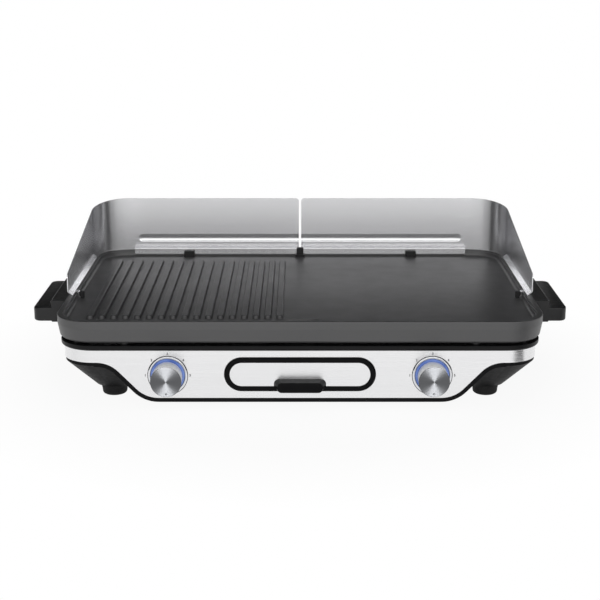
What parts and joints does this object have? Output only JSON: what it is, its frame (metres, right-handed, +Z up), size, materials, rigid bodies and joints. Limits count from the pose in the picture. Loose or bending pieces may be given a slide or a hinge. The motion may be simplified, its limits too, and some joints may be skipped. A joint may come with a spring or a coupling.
{
  "type": "electric table grill",
  "caption": "Electric table grill: a cast plate, half ribbed and half smooth, on a low base with dials and a sliding drip tray, with handles and a lift-off steel splash guard.",
  "frame": {"origin": "on the table, under the middle of the grill's overall box", "axes": "+X to the right as the cook faces the dials, +Y to the back, +Z up"},
  "size_m": [0.6372, 0.4083, 0.177],
  "materials": {
    "coated_casting": "dark non-stick coating on cast aluminium",
    "guard_steel": "satin stainless sheet",
    "fascia_steel": "brushed stainless sheet",
    "black_moulding": "satin black moulding",
    "frame_black": "satin black enamel",
    "handle_black": "fine grained black moulding",
    "clip_black": "matt black moulding",
    "turned_aluminium": "turned face",
    "silver_moulding": "silver moulding",
    "bezel_chrome": "polished",
    "light_guide": "clear ring lit blue",
    "foot_rubber": "matt rubber",
    "reflector_sheet": "bright aluminised sheet",
    "heater_sheath": "dull heat-stained sheath",
    "tray_steel": "pressed aluminium",
    "bracket_steel": "zinc plated",
    "screw_steel": "zinc plated",
    "switch_body": "dark moulding",
    "board_green": "circuit board",
    "terminal_white": "white moulding",
    "lead_sleeve": "heat-proof sleeve"
  },
  "bodies": {
    "base": {"base_frame": "frame_black", "base_tub": "black_moulding", "bracket_screws": "screw_steel", "bushing_nuts": "screw_steel", "dial_bezel_left": "bezel_chrome", "dial_bezel_right": "bezel_chrome", "foot_back_left": "foot_rubber", "foot_back_right": "foot_rubber", "foot_front_left": "foot_rubber", "foot_front_right": "foot_rubber", "foot_screws": "screw_steel", "frame_screws": "screw_steel", "front_fascia": "fascia_steel", "gland_nut": "black_moulding", "heater_left": "heater_sheath", "heater_right": "heater_sheath", "heater_saddles": "bracket_steel", "lamp_board_left": "board_green", "lamp_board_right": "board_green", "light_guide_left": "light_guide", "light_guide_right": "light_guide", "mains_gland": "black_moulding", "reflector": "reflector_sheet", "reflector_screws": "screw_steel", "terminal_block": "terminal_white", "thermal_fuses": "tray_steel", "thermostat_bracket_left": "bracket_steel", "thermostat_bracket_right": "bracket_steel", "thermostat_left": "switch_body", "thermostat_right": "switch_body", "tray_rail_left": "black_moulding", "tray_rail_right": "black_moulding", "wiring": "lead_sleeve"},
    "grill_plate": {"grill_plate": "coated_casting", "plate_handle_left": "handle_black", "plate_handle_right": "handle_black", "handle_screws": "screw_steel", "guard_clip_back_left": "clip_black", "guard_clip_back_right": "clip_black", "guard_clip_middle": "clip_black", "guard_clip_side_left": "clip_black", "guard_clip_side_right": "clip_black", "clip_screws": "screw_steel"},
    "drip_tray": {"drip_tray": "tray_steel", "tray_front": "black_moulding", "tray_inlay": "fascia_steel", "tray_screws": "screw_steel"},
    "guard_left": {"splash_guard_left": "guard_steel"},
    "knob_left": {"knob_body_left": "silver_moulding", "knob_cap_left": "turned_aluminium", "dial_shaft_left": "screw_steel"},
    "guard_right": {"splash_guard_right": "guard_steel"},
    "knob_right": {"knob_body_right": "silver_moulding", "knob_cap_right": "turned_aluminium", "dial_shaft_right": "screw_steel"}
  },
  "joints": [
    {"name": "plate_lift", "type": "slide", "parent": "base", "child": "grill_plate", "axis": [0, 0, 1], "range_m": [0, 0.12]},
    {"name": "drip_tray_slide", "type": "slide", "parent": "base", "child": "drip_tray", "axis": [0, -1, 0], "range_m": [0, 0.15]},
    {"name": "guard_left_lift", "type": "slide", "parent": "grill_plate", "child": "guard_left", "axis": [0, 0, 1], "range_m": [0, 0.1]},
    {"name": "knob_left_turn", "type": "hinge", "parent": "base", "child": "knob_left", "pos_m": [-0.1508, -0.19, 0.0407], "axis": [0, 1, 0], "range_deg": [0, 270]},
    {"name": "guard_right_lift", "type": "slide", "parent": "grill_plate", "child": "guard_right", "axis": [0, 0, 1], "range_m": [0, 0.1]},
    {"name": "knob_right_turn", "type": "hinge", "parent": "base", "child": "knob_right", "pos_m": [0.1508, -0.19, 0.0407], "axis": [0, 1, 0], "range_deg": [0, 270]}
  ]
}
